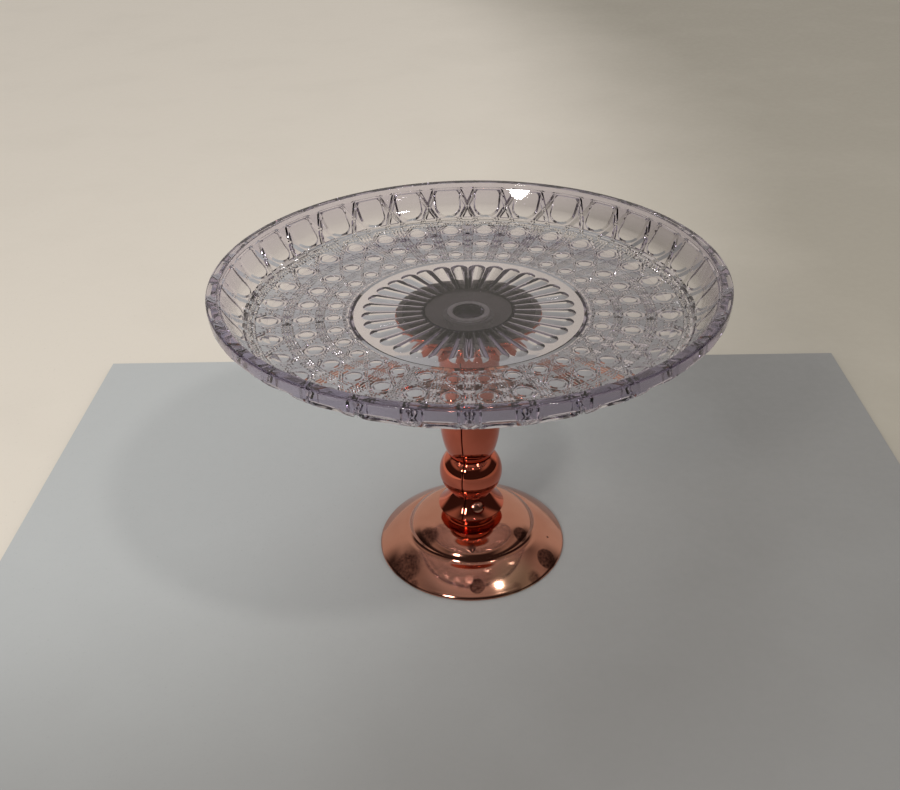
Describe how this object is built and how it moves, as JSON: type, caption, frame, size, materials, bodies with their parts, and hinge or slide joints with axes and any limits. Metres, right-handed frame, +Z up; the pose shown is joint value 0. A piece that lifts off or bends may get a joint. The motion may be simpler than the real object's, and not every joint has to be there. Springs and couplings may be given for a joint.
{
  "type": "pedestal cake stand",
  "caption": "Clear pressed cake dish with a cane and petal pattern, screwed to a copper-plated turned stem on a two-step domed foot.",
  "frame": {"origin": "centre of the foot's rim, on the table", "axes": "+Z up along the stem, towards the dish; -Y is the front, where the lock screw and one stem seam are"},
  "size_m": [0.3, 0.3, 0.1996],
  "materials": {
    "dish": "clear crystal acrylic with a faint lavender tint, polished",
    "silicone": "translucent milky silicone, satin",
    "vinyl": "smoky vinyl, satin",
    "cup_plate": "copper-plated moulding, glossy",
    "socket_black": "dark moulded nylon, matte",
    "zinc": "zinc-plated steel",
    "stem_plate": "copper-plated moulding, mirror gloss",
    "screw_copper": "copper-plated steel, worn",
    "foot_plate": "rose-gold plate on pressed steel, glossy with fine specks",
    "spring_steel": "oiled spring steel"
  },
  "bodies": {
    "pedestal": {"cup_gasket": "vinyl", "support_cup": "cup_plate", "threaded_socket": "socket_black", "tie_bolt": "zinc", "stem_shell_left": "stem_plate", "stem_shell_right": "stem_plate", "lock_screw": "screw_copper", "foot_hub": "stem_plate", "foot_shell": "foot_plate", "clamp_washer": "zinc", "spring_washer": "spring_steel", "foot_nut": "zinc"},
    "seal": {"seal_washer": "silicone"},
    "dish": {"cake_plate": "dish"}
  },
  "joints": [
    {"name": "dish_rise", "type": "slide", "parent": "pedestal", "child": "seal", "axis": [0, 0, 1], "range_m": [0, 0.0075]},
    {"name": "dish_unscrew", "type": "hinge", "parent": "seal", "child": "dish", "pos_m": [0, 0, 0.165], "axis": [0, 0, 1], "range_deg": [0, 900]}
  ],
  "couplings": [
    {"joint": "dish_rise", "follows": "dish_unscrew", "m_per_rad": 0.00047746}
  ]
}
